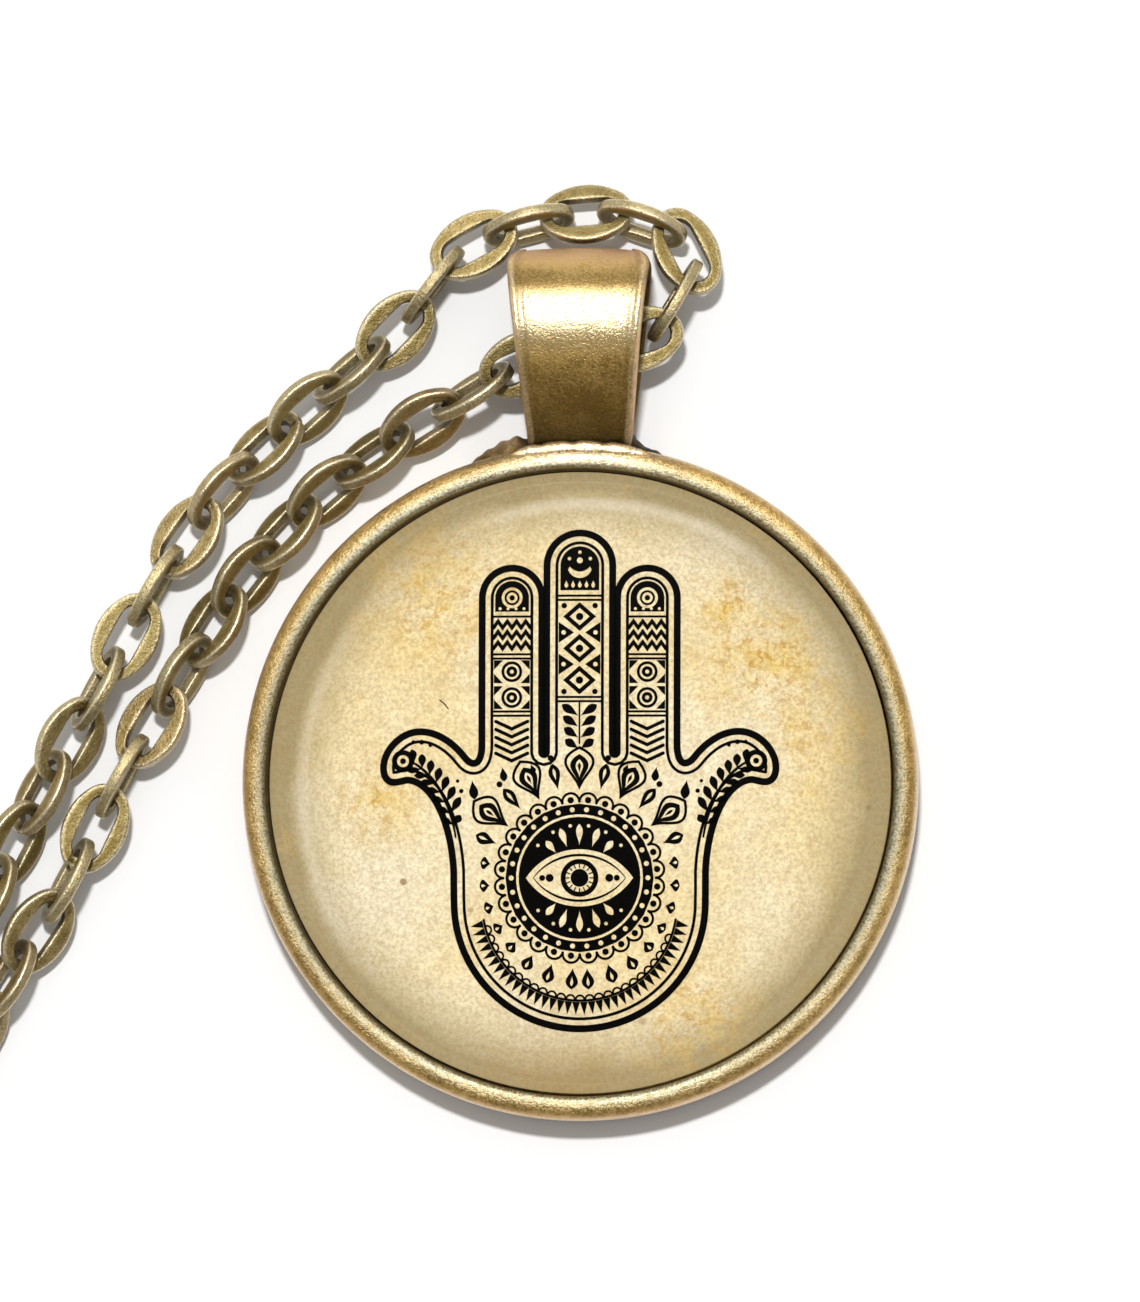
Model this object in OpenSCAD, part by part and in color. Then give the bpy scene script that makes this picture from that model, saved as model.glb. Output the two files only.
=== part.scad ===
// Round cabochon pendant with a hamsa print, lying flat on its back, on a flat oval cable chain.
// The tray's flat back rests at z = 0 with its centre at the origin, and the bail points along +Y.

/* [Tray] */
// Radial wall thickness of the cup
wall_t = 1.0; // [0.6:0.1:1.6]
// Height of the rim's crest above the back
rim_h = 2.9; // [2.4:0.1:3.6]
// Thickness of the cup's floor
floor_t = 0.8; // [0.5:0.1:1.2]
// Radius that rounds the outer edge of the rim
rim_round = 0.5; // [0.2:0.1:0.5]
// Height by which the rim slopes down towards the glass
rim_slope_h = 0.45; // [0.2:0.05:0.8]
// Clearance between the cup's wall and the glass
seat_gap = 0.1; // [0.05:0.05:0.3]

/* [Glass and print] */
// Diameter of the glass and of its girdle
glass_d = 25; // [18:0.5:30]
// Height of the whole glass
glass_h = 5.5; // [4:0.1:8]
// Height of the glass's straight girdle
girdle_h = 1.2; // [0.6:0.1:2]
// Thickness of the paper disc
paper_t = 0.25; // [0.1:0.05:0.5]
// Gap between the floor, the paper and the glass
layer_gap = 0.05; // [0.02:0.01:0.1]

/* [Bail] */
// How far the bail reaches beyond the cup
bail_reach = 7.9; // [6:0.05:12]
// Height of the bail's crown above the back
bail_h = 5.2; // [4.6:0.1:7]
// Height of the bail where it meets the rim
bail_foot_h = 2.5; // [1.8:0.1:2.8]
// Thickness of the bail's strap
strap_t = 0.75; // [0.5:0.05:1]
// Width across the bail at its end
bail_w = 5.9; // [4:0.1:9]
// Width across the bail at its foot
bail_foot_w = 4.15; // [3:0.05:7]
// Radius of the two corners at the bail's end
bail_corner = 0.8; // [0.3:0.1:1.4]
// Solid metal between the cup and the bail's opening
bail_neck = 1.15; // [0.8:0.05:2]
// Height of the opening at its narrow end
opening_foot_h = 1.7; // [1:0.1:2]
// Length of the solder along the rim, on the left of the foot
solder_left = 2.3; // [0.6:0.1:3]
// Length of the solder along the rim, on the right of the foot
solder_right = 1.5; // [0.6:0.1:3]
// How far the solder climbs up the foot's side
solder_rise = 0.8; // [0.3:0.1:1.4]
// Height of the solder above the back
solder_h = 1.9; // [1:0.1:2.2]
// Radius of the solder's beads
bead_r = 0.35; // [0.2:0.05:0.5]

/* [Chain] */
// Length of a link
link_l = 3.8; // [3.4:0.02:5]
// Width of a link
link_w = 2.6; // [2.3:0.05:3.2]
// Thickness of the flat stock of a link
link_t = 0.46; // [0.34:0.02:0.6]
// Radius of a link's ends
link_end_r = 1.0; // [0.7:0.05:1.1]
// Length of the slot in a link
slot_l = 2.72; // [2.3:0.02:3.6]
// Width of the slot in a link
slot_w = 1.2; // [1:0.05:1.6]
// Slack between two links along the chain
link_slack = 0.34; // [0.2:0.02:0.4]

/* [Clasp and rings] */
// Outer diameter of a jump ring
ring_d = 4.2; // [3.6:0.1:6]
// Diameter of a jump ring's wire
ring_wire = 0.7; // [0.5:0.05:0.8]
// Slack between a jump ring and the clasp
ring_slack = 0.75; // [0.6:0.05:0.9]
// Length inside the clasp, from the far wall of its eye to the far wall of its claw
clasp_inner_l = 9.4; // [9:0.1:14]
// Width of the clasp's claw
claw_w = 5.8; // [5:0.1:8]
// Width inside the clasp's claw
claw_inner_w = 2.9; // [2.8:0.1:3.4]
// Thickness of the claw
claw_t = 1.0; // [0.8:0.1:1.2]
// Thickness of metal at the claw's end
claw_end = 1.0; // [0.8:0.1:1.4]
// Thickness of the clasp's barrel
barrel_t = 3.2; // [2:0.1:4]
// Diameter of the clasp's barrel
barrel_d = 2.8; // [2:0.1:3]
// Radius of the lever's thumb stud
stud_r = 0.9; // [0.6:0.1:1.4]
// Diameter of the hole in the clasp's eye
eye_d = 2.6; // [2.6:0.1:3.2]
// Width of the metal round the eye
eye_wall = 0.8; // [0.5:0.1:1.2]
// Thickness of the clasp's eye
eye_t = 0.7; // [0.5:0.1:0.9]
// Width of the slit between the lever and the claw
gate_slit = 0.25; // [0.2:0.05:0.4]

/* [Hidden] */
$fn = 64;
bronze = "#8a7440";
bronze_light = "#a58e54";
parchment = "#e6d9ae";

// Values that follow from the sizes above
glass_r = glass_d / 2;
seat_r = glass_r + seat_gap;
cup_r = seat_r + wall_t;
paper_z = floor_t + layer_gap;
glass_z = paper_z + paper_t + layer_gap;
dome_h = glass_h - girdle_h;
dome_r = (glass_r * glass_r + dome_h * dome_h) / (2 * dome_h);
bail_r = bail_h / 2;
bail_end_y = cup_r + bail_reach;
foot_out = 0.3;
pitch = slot_l - link_slack;
ring_r = (ring_d - ring_wire) / 2;
ring_inner_r = ring_d / 2 - ring_wire;
eye_x = eye_d / 2 - clasp_inner_l / 2;
claw_r = claw_w / 2;
claw_x = clasp_inner_l / 2 + claw_end - claw_r;
claw_hole_l = claw_inner_w * 1.5;
barrel_x = eye_x + (eye_d + barrel_d) / 2;
neck_w = barrel_d * 1.1;
bead_places = [0.15, 0.45, 0.8];
rest_gap = 0.02;

// The clasp and its rings share one height, and the chain's last links rise to it.
// The last links lean by end_roll and the rings lean the other way.
end_roll = 45;
function touching(roll) = link_w / 2 * abs(sin(roll)) + link_t / 2 * abs(cos(roll));
closing_z = max(ring_r * sin(end_roll) + ring_wire / 2, barrel_t / 2);
end_lift = closing_z - touching(end_roll) - rest_gap;

// The chain's route: x and y of its centre line, its twist and its lift off the surface.
// It starts inside the bail, goes round the loop and comes back to the bail's other side.
ROUTE_X = 0;
ROUTE_Y = 1;
ROUTE_TWIST = 2;
ROUTE_LIFT = 3;
route = [
    [0, 17.6, 6, 0.92],
    [2.4, 17.75, 6, 0.84],
    [4.0, 19.1, 8, 0.55],
    [4.55, 21.4, 12, 0.25],
    [2.5, 22.9, 24, 0.05],
    [0, 23.0, 25, 0],
    [-2.6, 22.55, 20, 0],
    [-5.0, 21.4, 8, 0],
    [-6.4, 19.55, -3, 0],
    [-8.0, 17.8, -17, 0],
    [-11.4, 14.9, -43, 0],
    [-14.9, 11.4, -60, 0],
    [-17.4, 7.7, -86, 0],
    [-19.7, 3.5, -113, 0],
    [-22.1, -0.8, -133, 0],
    [-24.7, -5.6, -135, 0],
    [-29.5, -12.5, -135, 0],
    [-40, -20, -135, 0],
    [-56, -30, -135, 0],
    [-76, -43, -135, 0],
    [-94, -58, -135, 0],
    [-106, -75, -135, 0],
    [-110.5, -93, -135, 0],
    [-107, -110, -135, 0],
    [-98, -124, -135, 0],
    [-91, -128, -135, end_lift],
    [-87.5, -130, -135, end_lift],
    [-80.5, -134, 45, end_lift],
    [-77, -136, 45, end_lift],
    [-70, -140, 45, 0],
    [-53, -146.5, 60, 0],
    [-38, -143, 70, 0],
    [-26.5, -132, 80, 0],
    [-20, -117, 90, 0],
    [-18, -99, 100, 0],
    [-20, -80, 110, 0],
    [-23, -60, 120, 0],
    [-26, -40, 130, 0],
    [-27.5, -26, 135, 0],
    [-27, -16, 135, 0],
    [-24.2, -9.5, 130, 0],
    [-21.0, -4.5, 112, 0],
    [-18.8, -0.1, 88, 0],
    [-16.4, 3.9, 66, 0],
    [-13.9, 7.9, 45, 0],
    [-10.6, 11.6, 45, 0],
    [-6.7, 14.4, 37, 0.2],
    [-4.6, 15.6, 26, 0.46],
    [-2.6, 16.8, 16, 0.72]
];

// The route as a smooth closed curve of short steps, with the length up to each of them
ROUTE_STEPS = 8;
function route_row(i) = route[(i + len(route)) % len(route)];
function blend(a, b, c, d, u) =
    (2 * b + (c - a) * u + (2 * a - 5 * b + 4 * c - d) * u * u
    + (3 * b - a - 3 * c + d) * u * u * u) / 2;
function plan(row) = [row[ROUTE_X], row[ROUTE_Y]];
function curve_row(i, u) =
    let (
        middle = blend(plan(route_row(i - 1)), plan(route_row(i)), plan(route_row(i + 1)), plan(route_row(i + 2)), u),
        rest = route_row(i) * (1 - u) + route_row(i + 1) * u
    )
    [middle.x, middle.y, rest[ROUTE_TWIST], rest[ROUTE_LIFT]];
curve = [
    for (i = [0 : len(route) - 1], j = [0 : ROUTE_STEPS - 1])
        curve_row(i, j / ROUTE_STEPS),
    curve_row(0, 0)
];
function step_length(i) = i < len(curve) ? norm(plan(curve[i]) - plan(curve[i - 1])) : 0;
lengths = [
    for (i = 0, s = 0; i < len(curve); i = i + 1, s = s + step_length(i))
        s
];
route_l = lengths[len(lengths) - 1];
function along(s, column) =
    lookup(s < 0 ? s + route_l : s, [for (i = [0 : len(curve) - 1]) [lengths[i], curve[i][column]]]);

// Half the clasp, a jump ring and half a link close the chain on either side of the route's far end
link_to_ring = slot_l / 2 + ring_inner_r - link_slack;
ring_to_clasp = clasp_inner_l / 2 + ring_inner_r - ring_slack;
closing_l = link_to_ring + ring_to_clasp;
side_links = round((route_l / 2 - closing_l) / pitch);
spacing = (route_l / 2 - closing_l) / side_links;

// Each second link is turned by a quarter, and the more upright one of two neighbours touches the surface
function link_roll(k) = along(k * spacing, ROUTE_TWIST) + (k % 2 == 0 ? 90 : 0);
function height(s) =
    rest_gap + max(touching(along(s, ROUTE_TWIST)), touching(along(s, ROUTE_TWIST) + 90)) + along(s, ROUTE_LIFT);
function place(s) = [along(s, ROUTE_X), along(s, ROUTE_Y), height(s)];

// Link k turns against the next one about a point of the route: the end of the more upright of the two
function joint_s(k) =
    (k + 0.5) * spacing - ((link_l - slot_l) / 2 + link_slack) / 2 * cos(2 * link_roll(k));

// The clasp lies on the straight stretch half way round
clasp_place = place(route_l / 2);
clasp_ahead = place(route_l / 2 + closing_l) - place(route_l / 2 - closing_l);
clasp_turn = atan2(clasp_ahead.y, clasp_ahead.x);
ring_roll = link_roll(side_links) + 90;

function rim_y(x) = sqrt(cup_r * cup_r - x * x);
function arc_points(centre, r, from, to, steps) = [
    for (i = [0 : steps])
        centre + r * [cos(from + (to - from) * i / steps), sin(from + (to - from) * i / steps)]
];

// An oval of four tangent arcs: round ends of radius r and two wide sides
module oval_2d(l, w, r) {
    side_r = (pow(l / 2 - r, 2) + pow(w / 2, 2) - r * r) / (w - 2 * r);
    for (side = [-1, 1])
        translate([side * (l / 2 - r), 0])
            circle(r);
    intersection() {
        translate([0, w / 2 - side_r])
            circle(side_r);
        translate([0, side_r - w / 2])
            circle(side_r);
        square([2 * side_r * (l / 2 - r) / (side_r - r), w], center = true);
    }
}

module slot_2d(l, w) {
    square([l - w, w], center = true);
    for (side = [-1, 1])
        translate([side * (l - w) / 2, 0])
            circle(w / 2);
}

// The outline that a belt takes round two circles
module belt_2d(c1, r1, c2, r2) {
    base = atan2(c1.y - c2.y, c1.x - c2.x);
    lean = asin((r1 - r2) / norm(c2 - c1));
    up = [-sin(base + lean), cos(base + lean)];
    down = [sin(base - lean), -cos(base - lean)];
    translate(c1)
        circle(r1);
    translate(c2)
        circle(r2);
    polygon([c1 + r1 * up, c2 + r2 * up, c2 + r2 * down, c1 + r1 * down]);
}

// Half section of the cup: flat floor, straight wall, rounded crest and a slope towards the glass
module cup_section() {
    crest = [cup_r - rim_round, rim_h - rim_round];
    polygon(concat(
        [[0, 0], [cup_r, 0]],
        arc_points(crest, rim_round, 0, 90, 8),
        [[seat_r, rim_h - rim_slope_h], [seat_r, floor_t], [0, floor_t]]
    ));
}

// Side of the bail: a strap folded round its opening, flush with the back of the cup
module bail_side() {
    crown = [bail_end_y - bail_r, bail_r];
    foot = [cup_r + foot_out, bail_foot_h / 2];
    narrow_r = opening_foot_h / 2;
    difference() {
        belt_2d(crown, bail_r, foot, bail_foot_h / 2);
        belt_2d(crown, bail_r - strap_t, [cup_r + bail_neck + narrow_r, strap_t + narrow_r], narrow_r);
    }
}

// Front of the bail: wide at its end, with two round corners, and narrow at its foot
module bail_front() {
    corner = [bail_w / 2 - bail_corner, bail_end_y - bail_corner];
    lean = atan2((bail_w - bail_foot_w) / 2, bail_reach);
    right = concat(
        [[bail_foot_w / 2, cup_r - wall_t / 2]],
        arc_points(corner, bail_corner, -lean, 90, 7)
    );
    polygon(concat(right, [for (i = [len(right) - 1 : -1 : 0]) [-right[i].x, right[i].y]]));
}

// Solder that runs out along the rim from one side of the bail's foot, hollow in plan
module solder(side, run) {
    start = bail_foot_w / 2;
    shares = [for (i = [-1 : 5]) i / 5];
    linear_extrude(solder_h)
        polygon(concat(
            [for (t = shares) [side * (start + run * t), rim_y(start + run * t) + solder_rise * pow(1 - t, 2)]],
            [for (i = [6 : -1 : 0]) [side * (start + run * shares[i]), rim_y(start + run * shares[i]) - wall_t / 2]]
        ));
    for (t = bead_places)
        translate([side * (start + run * t), rim_y(start + run * t) + bead_r * (1 - t), solder_h])
            sphere(bead_r);
}

// The cup with its bail and the solder between them, open at the front for the glass
module tray() {
    color(bronze) {
        difference() {
            union() {
                rotate_extrude()
                    cup_section();
                intersection() {
                    rotate([90, 0, 90])
                        linear_extrude(bail_w + 1, center = true)
                            bail_side();
                    linear_extrude(bail_h + 1)
                        bail_front();
                }
                solder(-1, solder_left);
                solder(1, solder_right);
            }
            translate([0, 0, floor_t])
                cylinder(r = seat_r, h = bail_h);
        }
    }
}

// The printed paper disc under the glass
module print_disc() {
    color(parchment)
        translate([0, 0, paper_z])
            cylinder(r = glass_r - seat_gap, h = paper_t);
}

// The domed glass: a straight girdle under a ball's cap
module cabochon() {
    color("#f4f1e0", 0.4)
        translate([0, 0, glass_z])
            intersection() {
                cylinder(r = glass_r, h = glass_h);
                translate([0, 0, glass_h - dome_r])
                    sphere(dome_r, $fn = 128);
            }
}

// One flat link with its centre at the origin, its length along X and its width along Y
module link() {
    linear_extrude(link_t, center = true)
        difference() {
            oval_2d(link_l, link_w, link_end_r);
            slot_2d(slot_l, slot_w);
        }
}

// Link k lies between the two points of the route about which it turns against its neighbours
module placed_link(k) {
    back = place(joint_s(k - 1));
    run = place(joint_s(k)) - back;
    share = (k * spacing - joint_s(k - 1)) / (joint_s(k) - joint_s(k - 1));
    translate(back + run * share)
        rotate([0, -atan2(run.z, norm([run.x, run.y])), atan2(run.y, run.x)])
            rotate([link_roll(k), 0, 0])
                link();
}

// The whole loop, link by link, from the clasp round to the clasp
module chain() {
    color(bronze_light)
        for (k = [-side_links : side_links])
            placed_link(k);
}

// Puts what is modelled along X at the place where the chain closes
module at_clasp() {
    translate([clasp_place.x, clasp_place.y, 0])
        rotate([0, 0, clasp_turn])
            children();
}

// A flat piece of the clasp, half above and half below the closing's height
module clasp_plate(thickness) {
    translate([0, 0, closing_z])
        linear_extrude(thickness, center = true)
            children();
}

// A claw clasp in one piece: eye, barrel, claw with its hole, thumb stud and the lever's slit
module clasp() {
    color(bronze)
        at_clasp() {
            difference() {
                union() {
                    clasp_plate(claw_t) {
                        translate([claw_x, 0])
                            circle(claw_r);
                        translate([barrel_x, -neck_w / 2])
                            square([claw_x - barrel_x, neck_w]);
                        translate([barrel_x + stud_r / 2, neck_w / 2])
                            circle(stud_r);
                    }
                    clasp_plate(barrel_t)
                        translate([barrel_x, 0])
                            circle(barrel_d / 2);
                    clasp_plate(eye_t)
                        translate([eye_x, 0])
                            circle(eye_d / 2 + eye_wall);
                }
                clasp_plate(barrel_t + 1)
                    translate([eye_x, 0])
                        circle(eye_d / 2);
                clasp_plate(barrel_t + 1)
                    translate([(clasp_inner_l - claw_hole_l) / 2, 0])
                        slot_2d(claw_hole_l, claw_inner_w);
                clasp_plate(barrel_t + 1)
                    translate([clasp_inner_l / 2 - claw_inner_w / 2, 0])
                        square([gate_slit, claw_w]);
            }
        }
}

// A round jump ring about Z
module jump_ring() {
    rotate_extrude()
        translate([ring_r, 0])
            circle(ring_wire / 2, $fn = 32);
}

// A jump ring on one side of the clasp, turned by a quarter from the chain's last link
module placed_ring(side) {
    color(bronze_light)
        at_clasp()
            translate([side * ring_to_clasp, 0, closing_z])
                rotate([ring_roll, 0, 0])
                    jump_ring();
}

module ring_clasp() {
    placed_ring(-1);
}

module ring_catch() {
    placed_ring(1);
}

tray();
print_disc();
cabochon();
chain();
clasp();
ring_clasp();
ring_catch();
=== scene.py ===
"""Looks of a round hamsa pendant: tray with a folded bail, domed glass over a printed disc, cable chain.

All shapes are worked out in millimetres in the row frame and scaled to metres when a piece is made.
"""

from math import asin, atan2, copysign, cos, degrees, exp, hypot, pi, radians, sin, sqrt, tan

import bpy
import numpy as np
from mathutils import Matrix, Vector


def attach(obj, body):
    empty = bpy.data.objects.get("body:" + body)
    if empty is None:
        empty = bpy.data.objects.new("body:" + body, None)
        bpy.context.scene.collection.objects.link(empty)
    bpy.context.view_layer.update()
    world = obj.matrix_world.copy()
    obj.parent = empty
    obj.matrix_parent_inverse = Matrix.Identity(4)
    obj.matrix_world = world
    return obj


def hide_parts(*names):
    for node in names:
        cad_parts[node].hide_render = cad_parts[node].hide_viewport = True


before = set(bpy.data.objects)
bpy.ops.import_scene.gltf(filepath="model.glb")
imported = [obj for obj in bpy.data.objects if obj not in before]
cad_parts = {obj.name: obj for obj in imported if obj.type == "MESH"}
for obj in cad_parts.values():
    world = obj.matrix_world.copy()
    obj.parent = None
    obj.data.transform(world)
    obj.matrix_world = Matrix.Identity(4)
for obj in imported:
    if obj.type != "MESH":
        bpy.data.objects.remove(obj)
scene = bpy.context.scene
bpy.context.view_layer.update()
MM = 0.001

# Sizes of the solids, in millimetres. The cup stays a hair inside its solid.
CUP_R = 13.598
SEAT_R = 12.6
RIM_H = 2.9
FLOOR_T = 0.8
GLASS_R = 12.5
GLASS_H = 5.5
GIRDLE_H = 1.2
GLASS_Z = 1.15
PAPER_TOP = 1.10
DOME_H = GLASS_H - GIRDLE_H
DOME_R = (GLASS_R**2 + DOME_H**2) / (2 * DOME_H)
IOR = 1.5
BAIL_END = 21.5
BAIL_W = 5.9
BAIL_FOOT_W = 4.15
BAIL_CORNER = 0.8
BAIL_R = 2.6
STRAP_T = 0.75
LINK_L, LINK_W, LINK_T, LINK_END_R = 3.8, 2.6, 0.46, 1.0
SLOT_L, SLOT_W = 2.72, 1.2

# Rounding of the rim's crest, and how far round the rim the painted highlight and the copper by the bail's
# foot reach, in radians
CREST_R = 0.6
FOOT_SPREAD = 0.2
# Rounding of a link's outer and inner edges
LINK_EDGE_OUT, LINK_EDGE_IN = 0.11, 0.1
# Steps round a link inside and outside the photograph, and where the photograph's lower left corner lies
NEAR_STEPS, FAR_STEPS = 60, 28
SHOWN_X, SHOWN_Y = -26.5, -9.5
# The printed hand: middles of the middle and side fingertips, of the eye and of the palm's round end
TIP_Y, SIDE_X, SIDE_TIP_Y, EYE_Y, PALM_Y = 8.72, 2.72, 7.42, -3.85, -4.85

# A light tent: radiance of its walls and roof, and the share of it that sharp mirror images get
WALL, ROOF, MIRRORED = 0.7, 0.46, 0.12
# A pale band round the tent: z of the direction towards it, and half its width
BAND_Z, BAND_HALF = 0.334, 0.05
KEY_WATTS = 8.4

# The camera: the point that it looks at, its tilt to the right and down in degrees, its distance in metres
# and its lens
VIEW_TARGET = (-0.405, 5.3, 2.0)
VIEW_TILT = (2.7, 3.0)
VIEW_DISTANCE = 0.4
VIEW_LENS = 274.8


# Materials


class Nodes:
    """Short calls that add nodes to one tree and link them."""

    def __init__(self, tree):
        self.tree = tree

    def add(self, kind, inputs=None, **settings):
        node = self.tree.nodes.new(kind)
        for key, value in settings.items():
            setattr(node, key, value)
        for key, value in (inputs or {}).items():
            self.put(node.inputs[key], value)
        return node

    def put(self, socket, value):
        if isinstance(value, bpy.types.NodeSocket):
            self.tree.links.new(value, socket)
        elif isinstance(value, bpy.types.Node):
            self.tree.links.new(value.outputs[0], socket)
        else:
            socket.default_value = value

    def coordinates(self, scale):
        """Object coordinates times scale, in millimetres when scale is 1."""
        where = self.add("ShaderNodeTexCoord").outputs["Object"]
        return self.add("ShaderNodeMapping", {"Vector": where, "Scale": (1000 * scale,) * 3})

    def noise(self, scale, detail=2.0, rough=0.5, distortion=0.0):
        inputs = {"Vector": self.coordinates(scale), "Scale": 1.0, "Detail": detail, "Roughness": rough}
        return self.add("ShaderNodeTexNoise", {**inputs, "Distortion": distortion}).outputs["Fac"]

    def math(self, operation, a, b=0.0, clamp=False):
        return self.add("ShaderNodeMath", {0: a, 1: b}, operation=operation, use_clamp=clamp).outputs[0]

    def times(self, a, b, clamp=False):
        return self.math("MULTIPLY", a, b, clamp)

    def between(self, value, low, high, to_low=0.0, to_high=1.0, soft=False):
        kind = "SMOOTHSTEP" if soft else "LINEAR"
        inputs = {"Value": value, "From Min": low, "From Max": high, "To Min": to_low, "To Max": to_high}
        return self.add("ShaderNodeMapRange", inputs, interpolation_type=kind).outputs[0]

    def total(self, *parts):
        """Sum of values, each times its weight."""
        products = [self.times(value, weight) for value, weight in parts]
        result = products[0]
        for product in products[1:]:
            result = self.math("ADD", result, product)
        return result

    def mix(self, share, a, b):
        node = self.add("ShaderNodeMix", data_type="RGBA")
        for socket, value in ((node.inputs[0], share), (node.inputs[6], a), (node.inputs[7], b)):
            self.put(socket, value)
        return node.outputs[2]

    def vectors(self, operation, a, b):
        return self.add("ShaderNodeVectorMath", {0: a, 1: b}, operation=operation).outputs["Value"]

    def away_from(self, x, y):
        """Distance in millimetres from a point on top of the paper."""
        return self.vectors("DISTANCE", self.coordinates(1), (x, y, PAPER_TOP))

    def value(self, name):
        """A value that the mesh holds for each vertex."""
        return self.add("ShaderNodeAttribute", attribute_name=name).outputs["Fac"]

    def matt(self, colour, roughness, gloss, normal=None):
        """A plain surface, not metal, with little gloss."""
        shader = self.add("ShaderNodeBsdfPrincipled", {"Base Color": colour, "Roughness": roughness})
        self.put(shader.inputs["Specular IOR Level"], gloss)
        if normal is not None:
            self.put(shader.inputs["Normal"], normal)
        return shader

    def output(self, shader):
        self.add("ShaderNodeOutputMaterial", {"Surface": shader})


def new_material(name):
    material = bpy.data.materials.new(name)
    material.use_nodes = True
    material.node_tree.nodes.clear()
    return material, Nodes(material.node_tree)


def rgb(r, g, b):
    """An sRGB colour of 0 to 255 as the linear colour that shaders take."""
    return tuple((c / 255) ** 2.2 for c in (r, g, b)) + (1.0,)


# Colours of the metal where it is worn or carries a painted highlight, rubbed or coppery, and of the painted
# shade and grime in its recesses
WORN_AND_SHEEN, COPPER, RECESS_SHADE_AND_GRIME = rgb(238, 224, 188), rgb(206, 164, 132), rgb(44, 35, 22)
RUBBED_DARK, RUBBED_LIGHT = rgb(142, 136, 104), rgb(212, 210, 188)
# Light, middle and dark of the plating
TRAY_COLOURS = rgb(210, 175, 106), rgb(156, 125, 67), rgb(62, 50, 28)
CHAIN_COLOURS = rgb(164, 146, 98), rgb(128, 111, 66), rgb(56, 47, 28)
# Stains of the paper: place as seen from above, reach and strength
STAINS = (
    (7.4, 4.8, 3.4, 1.0),
    (6.2, 6.9, 2.2, 1.0),
    (-5.4, 7.4, 4.2, 0.8),
    (-8.2, -0.6, 2.4, 0.8),
    (4.4, -9.4, 3.2, 0.7),
    (9.0, 1.8, 3.4, 0.6),
)


def bronze(name, light, middle, dark, grain, rough, bump):
    """Antique bronze plating: grainy satin, dark in recesses with patina and painted shade, bright where it
    is worn or carries a painted highlight, and coppery in places.
    """
    material, n = new_material(name)
    patches = n.noise(0.55, 3.0, 0.6)
    mottle = n.noise(2.6, 4.0, 0.65, 0.4)
    fine = n.noise(grain, 2.0, 0.65)
    dust = n.noise(grain * 2.2, 2.0, 0.6)
    # The mesh's tone shifts the plating lighter or darker: at random on the links, and as painted highlight
    # and shade along the bail
    tone_and_light = n.total((patches, 0.3), (mottle, 0.35), (fine, 0.35), (n.value("tone_and_light"), 0.06))

    def uneven(key, noise, low, high, least):
        """A value of the mesh, weaker where the noise is low."""
        return n.times(n.value(key), n.between(noise, low, high, least, 1.0), clamp=True)

    slope = uneven("slope", mottle, 0.35, 0.6, 0.75)
    patina_and_shade = uneven("patina_and_shade", mottle, 0.3, 0.62, 0.6)
    wear_and_sheen = uneven("wear_and_sheen", fine, 0.35, 0.6, 0.4)
    copper = uneven("copper", mottle, 0.38, 0.6, 0.35)
    colour = n.mix(n.between(tone_and_light, 0.43, 0.58), middle, light)
    colour = n.mix(slope, colour, n.mix(n.between(fine, 0.38, 0.62), RUBBED_DARK, RUBBED_LIGHT))
    # Dark where the metal has patina, and where shade is painted in
    colour = n.mix(patina_and_shade, colour, dark)
    colour = n.mix(n.between(dust, 0.52, 0.7, 0.0, 0.32), colour, dark)
    # Pale where the metal is worn, and where a highlight is painted in
    colour = n.mix(wear_and_sheen, colour, WORN_AND_SHEEN)
    colour = n.mix(copper, colour, COPPER)
    # Painted shade: corners and recesses are darkened towards dark brown by how hidden they are, which also
    # stands for the grime in them
    near = n.add("ShaderNodeAmbientOcclusion", {"Distance": 0.0006}, samples=4)
    colour = n.mix(n.between(near.outputs["AO"], 0.3, 0.9, 0.8, 0.0), colour, RECESS_SHADE_AND_GRIME)
    dull = n.math("ADD", fine, n.times(n.math("SUBTRACT", patina_and_shade, wear_and_sheen), 0.4))
    roughness = n.between(dull, 0.1, 0.85, *rough)
    roughness = n.math("ADD", roughness, n.times(slope, 0.1))
    relief = n.total((fine, 0.75), (dust, 0.35), (mottle, 0.5))
    # Worn and rubbed places are smoother
    strength = n.math("SUBTRACT", bump, n.times(n.math("MAXIMUM", wear_and_sheen, slope), 0.5 * bump))
    bumped = n.add("ShaderNodeBump", {"Strength": strength, "Distance": 0.00006, "Height": relief})
    inputs = {"Base Color": colour, "Metallic": 1.0, "Roughness": roughness, "Normal": bumped}
    n.output(n.add("ShaderNodeBsdfPrincipled", inputs))
    return material


def glass():
    """Clear glass that lets the light through to what lies under it."""
    material, n = new_material("clear_glass")
    inputs = {"Base Color": (1.0, 0.995, 0.98, 1.0), "Roughness": 0.0, "IOR": IOR}
    inputs.update({"Transmission Weight": 1.0, "Specular IOR Level": 0.2})
    shader = n.add("ShaderNodeBsdfPrincipled", inputs)
    path = n.add("ShaderNodeLightPath")
    clear = n.add("ShaderNodeBsdfTransparent", {"Color": (0.97, 0.97, 0.95, 1.0)})
    n.output(n.add("ShaderNodeMixShader", {0: path.outputs["Is Shadow Ray"], 1: shader, 2: clear}))
    return material


def through_glass(r):
    """Radius on the print of what is seen at radius r from straight above, because the dome bends it."""
    slope = np.arcsin(np.clip(r / DOME_R, 0, 1))
    bent = np.arcsin(np.sin(slope) / IOR)
    depth = GLASS_Z + GLASS_H - PAPER_TOP - DOME_R * (1 - np.cos(slope))
    return r - depth * np.tan(slope - bent)


def spot(n, x, y, reach):
    """1 at a point of the paper and 0 beyond reach, in millimetres as seen through the glass."""
    share = through_glass(hypot(x, y)) / hypot(x, y)
    return n.between(n.away_from(x * share, y * share), 0, reach, 1.0, 0.0)


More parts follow.
